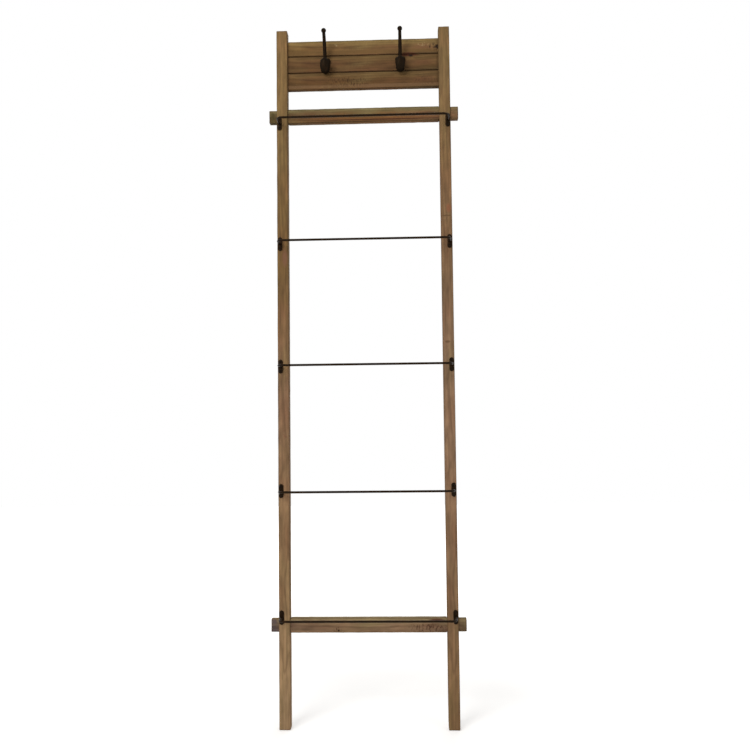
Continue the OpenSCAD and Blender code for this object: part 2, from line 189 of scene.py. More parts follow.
class RackStageSettings(bpy.types.PropertyGroup):
    """The camera, the lights and the floor."""

    eye: position("Eye", "Where the camera stands", (0.1047, -2.1898, 0.7749))
    yaw: turn("Yaw", "Turn of the camera to the right", -2.11)
    pitch: turn("Pitch", "Tilt of the camera upwards", 3.33)
    roll: turn("Roll", "Roll of the camera about its line of sight", -0.63)
    lens: FloatProperty(name="Lens", description="Focal length in millimetres", default=40.8, min=1)
    aim: position("Aim", "Where the lamps point", (0, 0, 0.92))
    key_place: position("Key place", "Where the large lamp in front is", (-1.7, -3.4, 2.5))
    key_size: length("Key size", "Width of the large lamp", 2200)
    key_power: power("Key power", "Power of the large lamp", 96)
    fill_place: position("Fill place", "Where the weak lamp on the right is", (2.4, -2.6, 1.3))
    fill_size: length("Fill size", "Width of the weak lamp on the right", 1600)
    fill_power: power("Fill power", "Power of the weak lamp on the right", 12)
    back_place: position("Back place", "Where the weak lamp behind the rack is", (0.6, 2.6, 2.4))
    back_size: length("Back size", "Width of the weak lamp behind the rack", 1800)
    back_power: power("Back power", "Power of the weak lamp behind the rack", 12)
    ambient: FloatProperty(
        name="Ambient", description="Strength of the light from all round", default=0.42, min=0,
    )


# ---- Modelling by hand ---------------------------------------------------------------------

def only(piece):
    """Makes piece the one selected and active object."""
    bpy.ops.object.select_all(action="DESELECT")
    piece.select_set(True)
    bpy.context.view_layer.objects.active = piece


def begin(name, primitive, **settings):
    """Adds a primitive as the start of a piece."""
    bpy.ops.object.select_all(action="DESELECT")
    primitive(**settings)
    piece = bpy.context.object
    piece.name = piece.data.name = name
    bpy.ops.object.transform_apply(location=True, rotation=True, scale=True)
    return piece


@contextmanager
def editing(piece):
    """Edit mode on piece, and back to object mode at the end."""
    only(piece)
    bpy.ops.object.mode_set(mode="EDIT")
    yield
    bpy.ops.object.mode_set(mode="OBJECT")


def choose(piece, kind, test):
    """In edit mode, selects the verts, edges or faces for which test is true."""
    bpy.ops.mesh.select_mode(type=kind)
    bpy.ops.mesh.select_all(action="DESELECT")
    mesh = bmesh.from_edit_mesh(piece.data)
    parts = {"VERT": mesh.verts, "EDGE": mesh.edges, "FACE": mesh.faces}[kind]
    for part in parts:
        if test(part):
            part.select_set(True)
    mesh.select_flush_mode()
    bmesh.update_edit_mesh(piece.data)


def face_outwards():
    """In edit mode, selects everything and turns all faces outwards."""
    bpy.ops.mesh.select_all(action="SELECT")
    bpy.ops.mesh.normals_make_consistent(inside=False)


def extrude(offset):
    """In edit mode, draws the selection out by that much."""
    bpy.ops.mesh.extrude_region_move(TRANSFORM_OT_translate={"value": offset})


def cut_away(place, outwards):
    """In edit mode, takes off all that lies beyond a plane, and closes the cut."""
    bpy.ops.mesh.select_all(action="SELECT")
    bpy.ops.mesh.bisect(plane_co=place, plane_no=outwards, clear_outer=True, use_fill=True)


def copy_of(pattern):
    """A copy with its own mesh, selected and active."""
    copy = pattern.copy()
    copy.data = pattern.data.copy()
    bpy.context.scene.collection.objects.link(copy)
    only(copy)
    return copy


def join(pieces):
    """Makes one piece of several, under the first one's name."""
    only(pieces[0])
    for other in pieces[1:]:
        other.select_set(True)
    bpy.ops.object.join()
    return pieces[0]


def modify(piece, kind, **settings):
    """Adds a modifier with its settings and applies it."""
    only(piece)
    modifier = piece.modifiers.new(kind.lower(), kind)
    for name, value in settings.items():
        setattr(modifier, name, value)
    bpy.ops.object.modifier_apply(modifier=modifier.name)


def combine(piece, other, operation):
    """Boolean of two closed pieces, which uses the second one up."""
    modify(piece, "BOOLEAN", object=other, operation=operation, solver="MANIFOLD")
    bpy.data.objects.remove(other)


def wear(piece, patch, depth, group=""):
    """Sinks the surface by up to depth in soft patches of that size, never outwards."""
    texture = bpy.data.textures.new("wear", "CLOUDS")
    texture.noise_scale = patch
    modify(
        piece, "DISPLACE", texture=texture, texture_coords="GLOBAL",
        strength=depth, mid_level=1, vertex_group=group,
    )
    bpy.data.textures.remove(texture)


def smooth(piece, degrees):
    """Smooth shading, with creases above that angle."""
    only(piece)
    bpy.ops.object.shade_smooth_by_angle(angle=math.radians(degrees))


def finish_piece(piece, finish, node):
    """Gives piece its finish, and lets it stand in for its CAD node on the rack."""
    piece.data.materials.clear()
    piece.data.materials.append(finish)
    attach(piece, "root")
    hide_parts(node)


def box_between(name, low, high):
    """Closed box between two corners."""
    low, high = Vector(low), Vector(high)
    return begin(
        name, bpy.ops.mesh.primitive_cube_add, size=1, location=(low + high) / 2, scale=high - low,
    )


def ease_edges(piece, arris, segments):
    """Rounds all edges of a piece that has only sharp ones."""
    with editing(piece):
        face_outwards()
        bpy.ops.mesh.bevel(offset=arris, segments=segments, affect="EDGES")


def eased_box(name, low, high, arris, segments):
    """Box with all its edges rounded."""
    piece = box_between(name, low, high)
    ease_edges(piece, arris, segments)
    return piece


def divide(piece, axis, step):
    """Cuts the edges that run along axis, so that none is much longer than step."""
    def runs_along(edge):
        """Whether the edge is a long one along the axis."""
        run = edge.verts[0].co - edge.verts[1].co
        return run.length > 2 * step and abs(run.normalized().dot(axis)) > 0.999

    with editing(piece):
        choose(piece, "EDGE", runs_along)
        mesh = bmesh.from_edit_mesh(piece.data)
        longest = max((e.calc_length() for e in mesh.edges if e.select), default=0)
        if longest:
            bpy.ops.mesh.subdivide(number_cuts=round(longest / step) - 1)


def mark_arrises(piece, low, high, arris):
    """Puts the verts near the edges of the box into the group that wears most."""
    def near_an_edge(vert):
        """Whether two of the box's sides are close by."""
        reach = 1.05 * arris
        sides = [min(vert.co[k] - low[k], high[k] - vert.co[k]) < reach for k in range(3)]
        return sum(sides) > 1

    group = piece.vertex_groups.new(name="arris")
    piece.vertex_groups.active = group
    with editing(piece):
        choose(piece, "VERT", near_an_edge)
        bpy.ops.object.vertex_group_assign()


def timber(name, low, high, arris, step=5 * MM, cuts=()):
    """Sawn bar, cut off by planes, then eased at its edges and divided so that it can wear."""
    low, high = Vector(low), Vector(high)
    piece = box_between(name, low, high)
    with editing(piece):
        for place, outwards in cuts:
            cut_away(place, outwards)
    ease_edges(piece, arris, segments=3)
    for axis in (X, Y, Z):
        divide(piece, axis, step)
    mark_arrises(piece, low, high, arris)
    return piece


def weather(piece):
    """Wears a finished timber shape."""
    wood = bpy.context.scene.rack_timber
    # Each pair is a broad wear and a finer, shallower one on top of it
    for patch, depth, group in (
        (26 * MM, wood.arris_wear, "arris"), (7 * MM, 0.35 * wood.arris_wear, "arris"),
        (80 * MM, wood.face_wear, ""), (9 * MM, 0.3 * wood.face_wear, ""),
    ):
        wear(piece, patch, depth, group)
    piece.vertex_groups.clear()


# ---- Materials -----------------------------------------------------------------------------

# Sockets of a Mix node that mixes colours
MIX_A, MIX_B, MIX_RESULT = 6, 7, 2
# Nearly all of a noise texture lies between these two values
NOISE_LOW, NOISE_HIGH = 0.3, 0.7


def linear(code):
    """Linear colour of an sRGB hex value."""
    parts = [int(code[k:k + 2], 16) / 255 for k in (1, 3, 5)]
    curved = [c / 12.92 if c <= 0.04045 else ((c + 0.055) / 1.055) ** 2.4 for c in parts]
    return (*curved, 1)


def fill(tree, node, inputs):
    """Gives a node's sockets their values or links."""
    for socket, value in inputs.items():
        if isinstance(value, bpy.types.NodeSocket):
            tree.links.new(value, node.inputs[socket])
        else:
            node.inputs[socket].default_value = value


def add(tree, kind, inputs=None, **settings):
    """Adds a node, sets its properties and fills its sockets."""
    node = tree.nodes.new(kind)
    for name, value in settings.items():
        setattr(node, name, value)
    fill(tree, node, inputs or {})
    return node


def begin_material(name):
    """An empty node material with its shader and output."""
    material = bpy.data.materials.new(name)
    material.use_nodes = True
    tree = material.node_tree
    tree.nodes.clear()
    shader = add(tree, "ShaderNodeBsdfPrincipled")
    add(tree, "ShaderNodeOutputMaterial", {"Surface": shader.outputs[0]})
    return material, tree, shader


def maths(tree, operation, first, second):
    """Two numbers added, multiplied or compared, as the operation says."""
    return add(tree, "ShaderNodeMath", {0: first, 1: second}, operation=operation).outputs[0]


def vector(tree, operation, first, second):
    """The same for two vectors, part by part."""
    return add(tree, "ShaderNodeVectorMath", {0: first, 1: second}, operation=operation).outputs[0]


def scaled(tree, value, factor):
    """A vector or a colour times a number."""
    node = add(tree, "ShaderNodeVectorMath", {0: value, "Scale": factor}, operation="SCALE")
    return node.outputs[0]


def distance(tree, offset):
    """Length of a vector."""
    return add(tree, "ShaderNodeVectorMath", {0: offset}, operation="LENGTH").outputs["Value"]


def split(tree, value):
    """The three parts of a vector."""
    return add(tree, "ShaderNodeSeparateXYZ", {0: value}).outputs


def spread(tree, value, low, high, to_low, to_high):
    """The value's range from low to high laid over another range, and held at its ends."""
    node = add(
        tree, "ShaderNodeMapRange",
        {"Value": value, "From Min": low, "From Max": high, "To Min": to_low, "To Max": to_high},
    )
    return node.outputs[0]


def ramp(tree, share, stops):
    """Tones or numbers that follow one another while share goes from 0 to 1."""
    node = add(tree, "ShaderNodeValToRGB", {0: share})
    points = node.color_ramp.elements
    for index, (place, value) in enumerate(stops):
        point = points[index] if index < 2 else points.new(place)
        point.position = place
        point.color = linear(value) if isinstance(value, str) else (value, value, value, 1)
    return node.outputs[0]


def noise(tree, place, size, detail=3.0, roughness=0.5):
    """Noise with features of about that size."""
    node = add(
        tree, "ShaderNodeTexNoise",
        {"Vector": place, "Scale": 1 / size, "Detail": detail, "Roughness": roughness},
    )
    return node.outputs["Fac"]


def swing(tree, value, low, high):
    """A noise laid over the range from low to high."""
    return spread(tree, value, NOISE_LOW, NOISE_HIGH, low, high)


def drawn_out(tree, place, squeeze):
    """A place squeezed along the grain, so that a pattern on it comes out long."""
    return vector(tree, "MULTIPLY", place, (1, 1, squeeze))


def wave_scale(apart):
    """Scale of a wave texture whose waves are that far apart."""
    return math.pi / 10 / apart


def tint(tree, factor, below, above):
    """One colour laid over another."""
    node = add(tree, "ShaderNodeMix", {0: factor, MIX_A: below, MIX_B: above}, data_type="RGBA")
    return node.outputs[MIX_RESULT]


class TimberFinish:
    """Reclaimed fir, brushed and oiled brown, with its grain along the piece.

    Places on a piece are across, depth and along it from its middle, in metres. Across is to the
    right on an upright piece and up on a level one, along is up and to the right.
    lengthwise: pairs of a share of the piece's length, from its lower or left end, and a tone
    dark: tone of the latewood and the darker ends, and of the painted shade along the arrises
    painted_top_light: tone of the painted highlight that the upper part of a level piece turns to
    knots: across, along and radius of each
    marks: across, along, half the width, half the length, size of its specks or 0 for an
        unbroken patch, and tone of each, on the front face only
    sawn: strength of the ripples that the band saw left
    end_grain_and_shade: how far the darker end grain, and a plank's painted stile shadow, reach in
    """

    def __init__(
        self, name, box, level, lengthwise, dark, painted_top_light=None, knots=(), marks=(), sawn=0.0,
        end_grain_and_shade=4 * MM,
    ):
        self.wood = bpy.context.scene.rack_timber
        self.material, self.tree, self.shader = begin_material(name)
        self.dark = linear(dark)
        low, high = box
        place = add(self.tree, "ShaderNodeTexCoord").outputs["Object"]
        self.grain = vector(self.tree, "SUBTRACT", place, (low + high) / 2)
        self.half = (high - low) / 2
        if level:
            x, y, z = split(self.tree, self.grain)
            self.grain = add(self.tree, "ShaderNodeCombineXYZ", {0: z, 1: y, 2: x}).outputs[0]
            self.half = Vector((self.half.z, self.half.y, self.half.x))
        self.flow = self.bend_grain(knots)
        tone = self.stain(lengthwise, painted_top_light)
        tone = self.draw_grain(tone)
        tone = self.marks_and_painted_shade(tone, knots, marks, end_grain_and_shade)
        self.shape(tone, sawn)

    def bend_grain(self, knots):
        """The grain wanders a few millimetres over a hand's breadth and sweeps round knots."""
        tree = self.tree
        slow = drawn_out(tree, self.grain, 0.16)
        wander = add(tree, "ShaderNodeTexNoise", {"Vector": slow, "Scale": 24.0, "Detail": 2.0})
        offset = vector(tree, "SUBTRACT", wander.outputs["Color"], (0.5, 0.5, 0.5))
        offset = vector(tree, "MULTIPLY", offset, (16 * MM, 16 * MM, 0))
        flow = vector(tree, "ADD", self.grain, offset)
        for across, along, radius in knots:
            # The sweep is longer along the grain than across, and dies out past the knot
            near = spread(tree, self.away(across, along, radius, radius / 0.62), 2.6, 0.0, 0, 1)
            # The grain is pushed aside, towards the nearer edge
            push = (math.copysign(1.6 * radius, -across or 1), 0, 0)
            flow = vector(tree, "ADD", flow, scaled(tree, push, near))
        return flow

    def away(self, across, along, wide, tall):
        """Distance from a place on the face, where 1 is wide across or tall along."""
        offset = vector(self.tree, "SUBTRACT", self.grain, (across, 0, along))
        return distance(self.tree, vector(self.tree, "MULTIPLY", offset, (1 / wide, 0, 1 / tall)))

    def stain(self, lengthwise, painted_top_light):
        """Stain that took unevenly: tones along the piece, olive and red patches, and a painted
        highlight on top.
        """
        tree, wood = self.tree, self.wood
        blurred = noise(tree, drawn_out(tree, self.grain, 0.4), 22 * MM)
        self.share = vector(tree, "DIVIDE", self.grain, self.half)
        across, self.depth, along = split(tree, self.share)
        strayed = maths(tree, "ADD", along, swing(tree, blurred, -0.05, 0.05))
        tone = ramp(tree, spread(tree, strayed, -1, 1, 0, 1), lengthwise)
        if painted_top_light:
            # Painted highlight: the upper part of a level piece turns lighter, as if lit from above
            lit_from_above = maths(tree, "ADD", across, swing(tree, blurred, -0.35, 0.35))
            tone = tint(tree, spread(tree, lit_from_above, -0.2, 0.8, 0, 0.85), tone, linear(painted_top_light))
        self.patch = noise(tree, drawn_out(tree, self.flow, 0.22), 26 * MM)
        tone = tint(tree, spread(tree, self.patch, 0.52, 0.72, 0, 0.4), tone, linear(wood.olive))
        return tint(tree, spread(tree, self.patch, 0.48, 0.3, 0, 0.3), tone, linear(wood.russet))

    def draw_grain(self, tone):
        """Growth rings, streaks and fibres, each a little darker or lighter than the stain."""
        tree, wood = self.tree, self.wood
        # The pith lies well behind the face, so that the rings cut the face in long stripes
        behind = 2.4 * self.half.y + 20 * MM
        pith = vector(tree, "ADD", self.flow, (0.35 * self.half.x, -behind, 0))
        rings = add(
            tree, "ShaderNodeTexWave", {"Vector": pith, "Scale": wave_scale(wood.growth_ring)},
            wave_type="RINGS", rings_direction="Z", wave_profile="SAW",
        ).outputs["Fac"]
        late = ramp(tree, rings, [(0.0, 0.0), (0.55, 0.12), (0.86, 0.85), (1.0, 0.3)])
        self.late = maths(tree, "MULTIPLY", late, 0.36)
        tone = tint(tree, self.late, tone, self.dark)
        fine = drawn_out(tree, self.flow, 0.028)
        self.fibres = noise(tree, fine, wood.fibre, detail=4.0, roughness=0.6)
        streaks = noise(tree, fine, wood.streak, detail=2.0)
        mottle = noise(tree, drawn_out(tree, self.flow, 0.3), 12 * MM)
        shade = maths(
            tree, "MULTIPLY", swing(tree, streaks, 0.78, 1.18), swing(tree, mottle, 0.84, 1.14),
        )
        shade = maths(tree, "MULTIPLY", shade, swing(tree, self.fibres, 0.84, 1.08))
        return scaled(tree, tone, shade)

    def marks_and_painted_shade(self, tone, knots, marks, end_grain_and_shade):
        """Painted shade along the arrises, darker ends, specks and scratches, and the knots' eyes.
        """
        tree = self.tree
        reach = add(tree, "ShaderNodeVectorMath", {0: self.share}, operation="ABSOLUTE")
        across_reach, depth_reach, along_reach = split(tree, reach.outputs[0])
        # Painted shade that darkens the faces towards the arrises
        corner = maths(tree, "MINIMUM", across_reach, depth_reach)
        corner = spread(tree, corner, 0.85, 0.96, 0, 0.78)
        # The ends darken for their end grain, and on a plank also as the painted shadow of the
        # stile
        end = spread(tree, along_reach, 1 - end_grain_and_shade / self.half.z, 1.0, 0, 0.7)
        tone = tint(tree, maths(tree, "MAXIMUM", corner, end), tone, self.dark)
        front = spread(tree, self.depth, -0.7, -0.9, 0, 0.8)
        for across, along, wide, tall, size, code in marks:
            inside = spread(tree, self.away(across, along, wide, tall), 1.2, 0.6, 0, front)
            if size:
                # Specks are twice as long across the grain as along it
                crossed = vector(tree, "MULTIPLY", self.grain, (0.5, 1, 1))
                specks = spread(tree, noise(tree, crossed, size, detail=2.0), 0.52, 0.62, 0, 1)
                inside = maths(tree, "MULTIPLY", inside, specks)
            tone = tint(tree, inside, tone, linear(code))
        # A knot's eye is nearly black, and ragged at its rim
        black = tuple(0.3 * c for c in self.dark[:3]) + (1,)
        ragged = swing(tree, noise(tree, self.grain, 3 * MM), -0.4, 0.4)
        for across, along, radius in knots:
            eye = maths(tree, "ADD", self.away(across, along, radius, radius / 0.8), ragged)
            tone = tint(tree, spread(tree, eye, 1.3, 0.5, 0, 1), tone, black)
        return tone

    def shape(self, tone, sawn):
        """Fibres and latewood stand up, and a band saw leaves ripples across the grain."""
        tree, wood = self.tree, self.wood
        height = maths(tree, "ADD", self.fibres, self.late)
        if sawn:
            ripple = add(
                tree, "ShaderNodeTexWave",
                {"Vector": self.grain, "Scale": wave_scale(wood.saw_ripple), "Distortion": 5.0,
                 "Detail": 3.0, "Detail Scale": 1.2},
                wave_type="BANDS", bands_direction="Z",
            ).outputs["Fac"]
            ripple = maths(tree, "MULTIPLY", ripple, spread(tree, self.patch, 0.42, 0.62, 0, sawn))
            height = maths(tree, "ADD", height, ripple)
            tone = tint(tree, maths(tree, "MULTIPLY", ripple, 0.3), tone, self.dark)
        bump = add(
            tree, "ShaderNodeBump", {"Height": height, "Distance": wood.relief, "Strength": 0.8},
        )
        fill(tree, self.shader, {
            "Base Color": tone, "Roughness": spread(tree, self.fibres, 0, 1, 0.6, 0.85),
            "Normal": bump.outputs[0], "Specular IOR Level": 0.12,
        })


def iron_finish(name, code, grit, relief, rough, sheen):
    """Black iron whose roughness changes from place to place, on a skin of fine grit."""
    iron = bpy.context.scene.rack_iron
    material, tree, shader = begin_material(name)
    place = add(tree, "ShaderNodeTexCoord").outputs["Object"]
    cloud = noise(tree, place, 9 * MM)
    # Thin places in the black show the brown of the iron below
    thin = spread(tree, cloud, 0.52, 0.75, 0, 0.6)
    tone = tint(tree, thin, linear(code), linear(iron.bare_brown))
    bump = add(
        tree, "ShaderNodeBump",
        {"Height": noise(tree, place, grit, detail=4.0, roughness=0.65), "Distance": relief,
         "Strength": 0.7},
    )
    fill(tree, shader, {
        "Base Color": tone, "Roughness": swing(tree, cloud, *rough), "Normal": bump.outputs[0],
        "Specular IOR Level": sheen, "Specular Tint": linear(iron.warm_sheen),
    })
    return material


# ---- Stains, knots and marks of each piece of timber ---------------------------------------

STILE_LOOKS = {
    -1: dict(
        # Pale at the foot, darkest two thirds of the way up
        lengthwise=[(0.05, "#A08260"), (0.2, "#927552"), (0.45, "#82644A"), (0.65, "#735834"),
                    (0.95, "#80653F")],
        dark="#4B3420",
        # A reddish patch, and specks below it
        marks=[(0.006, 0.300, 0.007, 0.024, 0, "#76533D"),
               (0.003, -0.16, 0.006, 0.020, 5 * MM, "#6E4A36")],
    ),
    1: dict(
        # Palest below the middle
        lengthwise=[(0.05, "#846646"), (0.4, "#8E7056"), (0.6, "#7E644A"), (0.8, "#826242"),
                    (0.95, "#7C6440")],
        dark="#4A3322",
        # Two smudges, one a narrow line across, and a red patch above them
        marks=[(-0.0025, 0.074, 0.007, 0.0035, 0, "#5E4630"),
               (0, 0.405, 0.014, 0.002, 0, "#5A432C"),
               (0.006, 0.425, 0.007, 0.012, 0, "#85563C")],
    ),
}


def painted_joint_shade(across):
    """Mark of painted shade in a joint, along the edge of a plank."""
    return (across, 0, 0.0013, 0.6, 0, "#2A1A0D")


# The top tone of each plank is painted light, as where light falls from above
PLANK_LOOKS = {
    "top": dict(
        lengthwise=[(0.1, "#7A5C34"), (0.45, "#7E5E3A"), (0.9, "#6E5234")],
        dark="#3A2614", painted_top_light="#8F7748", sawn=1.0, knots=[(-0.003, 0.197, 0.0055)],
        # A darker band, painted shade in the joint, a red patch on it, dark specks and pale ones
        marks=[(-0.0125, 0.03, 0.0055, 0.5, 0, "#6C512F"),
               painted_joint_shade(-0.0205),
               (-0.0195, 0.122, 0.0025, 0.020, 0, "#4A1C14"),
               (-0.004, 0.190, 0.011, 0.019, 6 * MM, "#1A0F07"),
               (0.004, 0.160, 0.005, 0.016, 3 * MM, "#9C865E"),
               (0.007, -0.072, 0.004, 0.006, 3 * MM, "#9C865E")],
    ),
    "middle": dict(
        lengthwise=[(0.1, "#66482A"), (0.5, "#6A4C2E"), (0.9, "#584024")],
        dark="#352212", painted_top_light="#6F5633", sawn=0.7, knots=[(0.018, 0.128, 0.0045)],
        # Painted shade in both joints, and the rest of the red patch
        marks=[painted_joint_shade(0.022), painted_joint_shade(-0.022),
               (0.0205, 0.122, 0.005, 0.026, 0, "#45160F")],
    ),
    "bottom": dict(
        lengthwise=[(0.1, "#644626"), (0.5, "#684A2A"), (0.9, "#523A20")],
        dark="#352212", painted_top_light="#705835", sawn=0.8,
        # A paler band, painted shade in the joint and along the lower edge, and specks
        marks=[(-0.015, 0.03, 0.005, 0.5, 0, "#72563A"), painted_joint_shade(0.023),
               # Painted shade along the lower edge
               (-0.023, 0.1, 0.0019, 0.3, 0, "#2A1A0C"),
               (-0.003, -0.040, 0.013, 0.065, 3.6 * MM, "#35220F"),
               (-0.016, -0.070, 0.003, 0.060, 3 * MM, "#7F6540"),
               (-0.002, 0.165, 0.014, 0.035, 3.6 * MM, "#4A3421")],
    ),
}
# Across, share of the plank's height, and size in millimetres of each dent
PLANK_DENTS = {
    "top": [(-0.075, 0.52, 1.5), (0.042, 0.68, 1.2), (0.073, 0.62, 1.4)],
    "middle": [(-0.012, 0.9, 1.5), (-0.13, 0.3, 1.1), (0.155, 0.55, 1.2)],
    "bottom": [(-0.105, 0.12, 1.4), (-0.012, 0.83, 1.3), (0.055, 0.3, 1.1)],
}
# The top tone of each bar is painted light, as where light falls from above
BAR_LOOKS = {
    "upper": dict(
        # Darkest on the left tenon, palest in the middle
        lengthwise=[(0.02, "#544628"), (0.1, "#624A2C"), (0.25, "#684A2C"), (0.5, "#7C5A32"),
                    (0.95, "#74543A")],
        dark="#3C2818", painted_top_light="#766C48",
        # Specks and a dark patch on the tenons, then lines along the bar, two of them painted shade
        marks=[(0.003, 0.236, 0.005, 0.004, 3 * MM, "#3A2014"),
               (0, -0.241, 0.011, 0.006, 0, "#463C1F"),
               (-0.0095, 0.01, 0.0028, 0.20, 0, "#704A28"),
               # Painted shadow line under the rail
               (-0.0132, 0.04, 0.0021, 0.17, 0, "#3F1E10"),
               # Painted shade along the lower edge
               (-0.0185, -0.02, 0.002, 0.22, 0, "#3A2814")],
    ),
    "lower": dict(
        # Darkest on both tenons
        lengthwise=[(0.02, "#544A48"), (0.1, "#80644E"), (0.4, "#947658"), (0.7, "#907458"),
                    (0.9, "#7C604A"), (0.98, "#5C4A36")],
        dark="#3F2A1C", painted_top_light="#92805B", knots=[(-0.012, -0.077, 0.0022)],
        # Two fields of specks, a red line, and a mauve patch on the left tenon
        marks=[(-0.006, 0.155, 0.011, 0.055, 4.5 * MM, "#3B2417"),
               (-0.010, -0.080, 0.007, 0.012, 3 * MM, "#3B2417"),
               (0.013, 0.175, 0.004, 0.020, 0, "#4A2018"),
               (0.010, -0.243, 0.008, 0.010, 0, "#574A4B")],
    ),
}


# ---- Timber pieces -------------------------------------------------------------------------

class RACK_OT_stiles(bpy.types.Operator):
    """Model both stiles with their mortises, the header's housing and worn corners"""

    bl_idname = "rack.stiles"
    bl_label = "Stiles"

    def execute(self, context):
        wood = context.scene.rack_timber
        for side in SIDES:
            name = f"{SIDE_NAMES[side]}_stile"
            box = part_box(name)
            low, high = box
            cuts = self.worn_corners(side, low, high)
            piece = timber(f"{name}_timber", low, high, wood.stile_arris, cuts=cuts)
            weather(piece)
            for bar in BAR_NAMES:
                self.cut_mortise(piece, bar, low, high)
            self.cut_housing(piece, side, low, high)
            smooth(piece, 40)
            finish = TimberFinish(f"brushed_fir_{name}", box, level=False, **STILE_LOOKS[side])
            finish_piece(piece, finish.material, name)
        return {"FINISHED"}

    def worn_corners(self, side, low, high):
        """Planes that take off the inner corner at the foot, and at the left stile's head."""
        wood = bpy.context.scene.rack_timber
        inner = high.x if side < 0 else low.x
        corners = [(low.z, -1, wood.foot_cut_width, wood.foot_cut_height)]
        if side < 0:
            corners.append((high.z, 1, wood.head_cut_width, wood.head_cut_height))
        return [
            ((inner + side * wide, low.y, z), (-side * tall, 0, up * wide))
            for z, up, wide, tall in corners
        ]

    def cut_mortise(self, piece, bar, low, high):
        """Through mortise for a crossbar's tenon."""
        wood = bpy.context.scene.rack_timber
        bar_low, bar_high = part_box(f"{bar}_crossbar")
        gap = wood.mortise_gap
        step = wood.tenon_shoulder - gap
        # Its corners are a little tighter than the tenon's
        cutter = eased_box(
            "mortise",
            (low.x - OVERRUN, bar_low.y - gap, bar_low.z + step),
            (high.x + OVERRUN, bar_high.y + gap, bar_high.z - step),
            arris=0.8 * wood.bar_arris, segments=2,
        )
        combine(piece, cutter, "DIFFERENCE")

    def cut_housing(self, piece, side, low, high):
        """Blind groove in the inner face for the ends of the planks."""
        wood = bpy.context.scene.rack_timber
        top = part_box("header_plank_top")[1]
        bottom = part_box("header_plank_bottom")[0]
        gap = wood.mortise_gap
        inner = high.x if side < 0 else low.x
        ends = sorted((inner - side * OVERRUN, inner + side * wood.housing_depth))
        cutter = box_between(
            "housing",
            (ends[0], bottom.y - gap, bottom.z - gap), (ends[1], top.y + gap, top.z + gap),
        )
        combine(piece, cutter, "DIFFERENCE")


class RACK_OT_header(bpy.types.Operator):
    """Model the three rough-sawn planks of the header"""

    bl_idname = "rack.header"
    bl_label = "Header planks"

    def execute(self, context):
        wood = context.scene.rack_timber
        for plank in PLANK_NAMES:
            name = f"header_plank_{plank}"
            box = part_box(name)
            low, high = box
            piece = timber(f"{name}_timber", low, high, wood.plank_arris, step=4 * MM)
            weather(piece)
            for x, share, size in PLANK_DENTS[plank]:
                self.dent(piece, Vector((x, low.y, low.z + share * (high.z - low.z))), size * MM)
            smooth(piece, 40)
            # Painted shadow of the stile darkens a plank where it enters the stile, so it reaches
            # past the hidden end
            finish = TimberFinish(
                f"rough_sawn_fir_{plank}", box, level=True, end_grain_and_shade=2 * wood.housing_depth,
                **PLANK_LOOKS[plank],
            )
            finish_piece(piece, finish.material, name)
        return {"FINISHED"}

    def dent(self, piece, place, size):
        """Presses a small round dent into the front of a plank."""
        in_front = 0.72 * size
        ball = begin(
            "dent", bpy.ops.mesh.primitive_uv_sphere_add, segments=12, ring_count=8,
            radius=size, location=place - in_front * Y,
        )
        combine(piece, ball, "DIFFERENCE")


class RACK_OT_crossbars(bpy.types.Operator):
    """Model the two crossbars with their through tenons"""

    bl_idname = "rack.crossbars"
    bl_label = "Crossbars"

    def execute(self, context):
        wood = context.scene.rack_timber
        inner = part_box("right_stile")[0].x - SHOULDER_GAP
        for bar in BAR_NAMES:
            name = f"{bar}_crossbar"
            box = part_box(name)
            low, high = box
            body = timber(
                f"{name}_timber", (-inner, low.y, low.z), (inner, high.y, high.z),
                wood.bar_arris, step=4 * MM,
            )
            weather(body)
            slack = wood.tenon_slack / 2
            tenons = timber(
                "tenons", (low.x, low.y + slack, low.z + wood.tenon_shoulder),
                (high.x, high.y - slack, high.z - wood.tenon_shoulder),
                wood.bar_arris, step=4 * MM,
            )
            weather(tenons)
            combine(body, tenons, "UNION")
            smooth(body, 40)
            finish = TimberFinish(f"brushed_fir_{name}", box, level=True, **BAR_LOOKS[bar])
            finish_piece(body, finish.material, name)
        return {"FINISHED"}


# ---- Iron pieces ---------------------------------------------------------------------------

def oblong(name, centre, width, tall, thick):
    """Flat plate with round ends that stands on the face behind it, its front rim eased."""
    run = (tall - width) / 2
    piece = hull_of([
        begin(
            name, bpy.ops.mesh.primitive_cylinder_add, vertices=32, radius=width / 2, depth=thick,
            location=centre - Y * thick / 2 + Z * end * run, rotation=FORWARDS,
        )
        for end in (-1, 1)
    ])
    ease_front(piece, centre.y - thick, bpy.context.scene.rack_iron.tab_rim)
    return piece


def hull_of(solids):
    """Turns several solids into the one convex solid round them all."""
    piece = join(solids)
    with editing(piece):
        bpy.ops.mesh.select_all(action="SELECT")
        bpy.ops.mesh.convex_hull()
        bpy.ops.mesh.select_all(action="SELECT")
        bpy.ops.mesh.dissolve_limited(angle_limit=math.radians(1))
    return piece


def ease_front(piece, y, radius):
    """Rounds the rim of the face that lies at y."""
    with editing(piece):
        choose(piece, "FACE", lambda face: face.calc_center_median().y < y + 0.01 * MM)
        bpy.ops.mesh.bevel(offset=radius, segments=3, affect="EDGES")


